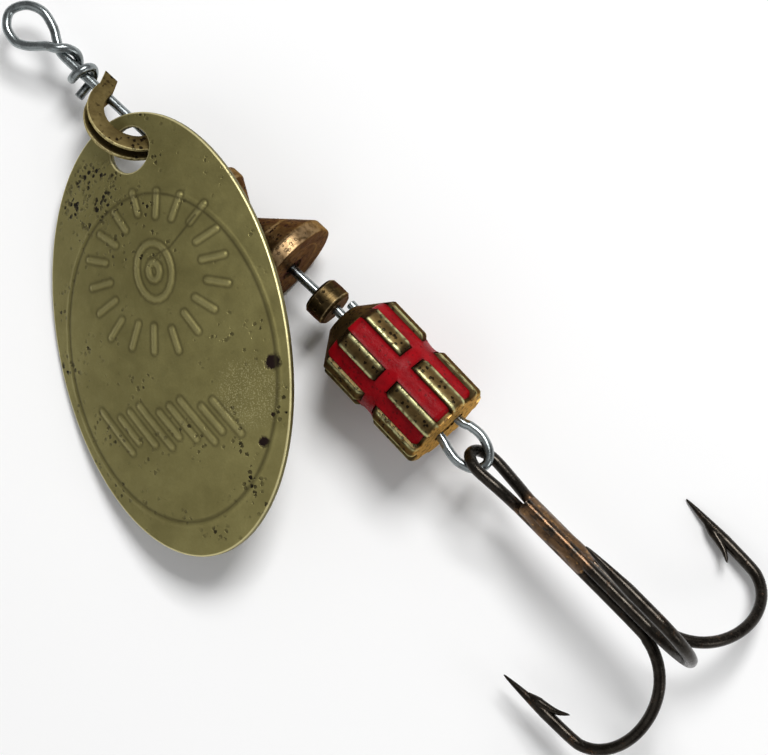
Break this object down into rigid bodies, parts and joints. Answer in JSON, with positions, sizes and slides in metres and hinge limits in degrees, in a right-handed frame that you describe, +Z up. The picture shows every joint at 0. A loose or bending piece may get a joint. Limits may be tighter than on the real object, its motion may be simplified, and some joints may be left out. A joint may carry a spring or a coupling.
{
  "type": "in-line spinner lure",
  "caption": "Fishing spinner: dished oval blade on a clevis, turning about a wire shaft ahead of an hourglass collar, bead, ribbed enamelled body and treble hook.",
  "frame": {"origin": "bottom centre of the bounding box, on the surface that the lure lies on", "axes": "+X from the line eye to the treble hook, +Z up, with the shaft tilted 2.5 degrees, tail end up"},
  "size_m": [0.0594, 0.024, 0.0148],
  "materials": {
    "steel_wire": "drawn wire, smooth",
    "clevis_brass": "tarnished, satin",
    "blade_brass": "tarnished olive brass with fine pits",
    "turned_brass": "turned, tarnished brown",
    "body_brass": "tarnished, bright at the edges",
    "red_enamel": "gloss enamel",
    "hook_bronze": "bronzed steel, semi-gloss",
    "braze": "copper-brown filler"
  },
  "bodies": {
    "wire": {"wire_shaft": "steel_wire"},
    "clevis": {"blade_clevis": "clevis_brass"},
    "blade": {"spinner_blade": "blade_brass"},
    "collar": {"hourglass_collar": "turned_brass"},
    "bead": {"spacer_bead": "turned_brass"},
    "body": {"ribbed_body": "body_brass", "red_enamel": "red_enamel"},
    "treble": {"treble_double_hook": "hook_bronze", "treble_single_hook": "hook_bronze", "treble_braze": "braze"}
  },
  "joints": [
    {"name": "clevis_spin", "type": "hinge", "parent": "wire", "child": "clevis", "pos_m": [-0.01906, 0.00582, 0.00295], "axis": [0.9991, 0, 0.0431], "continuous": true},
    {"name": "blade_flare", "type": "hinge", "parent": "clevis", "child": "blade", "pos_m": [-0.01921, 0.00504, 0.00338], "axis": [0.1591, -0.8951, -0.4166], "range_deg": [0, 75]},
    {"name": "collar_spin", "type": "hinge", "parent": "wire", "child": "collar", "pos_m": [-0.00876, 0.00582, 0.00339], "axis": [0.9991, 0, 0.0431], "continuous": true},
    {"name": "bead_slide", "type": "slide", "parent": "wire", "child": "bead", "axis": [0.9991, 0, 0.0431], "range_m": [-0.0018, 0.0002]},
    {"name": "body_slide", "type": "slide", "parent": "wire", "child": "body", "axis": [0.9991, 0, 0.0431], "range_m": [-0.0005, 0]},
    {"name": "treble_swing", "type": "hinge", "parent": "wire", "child": "treble", "pos_m": [0.01163, 0.00514, 0.00427], "axis": [-0.0247, 0.8192, 0.573], "range_deg": [-90, 90]}
  ]
}
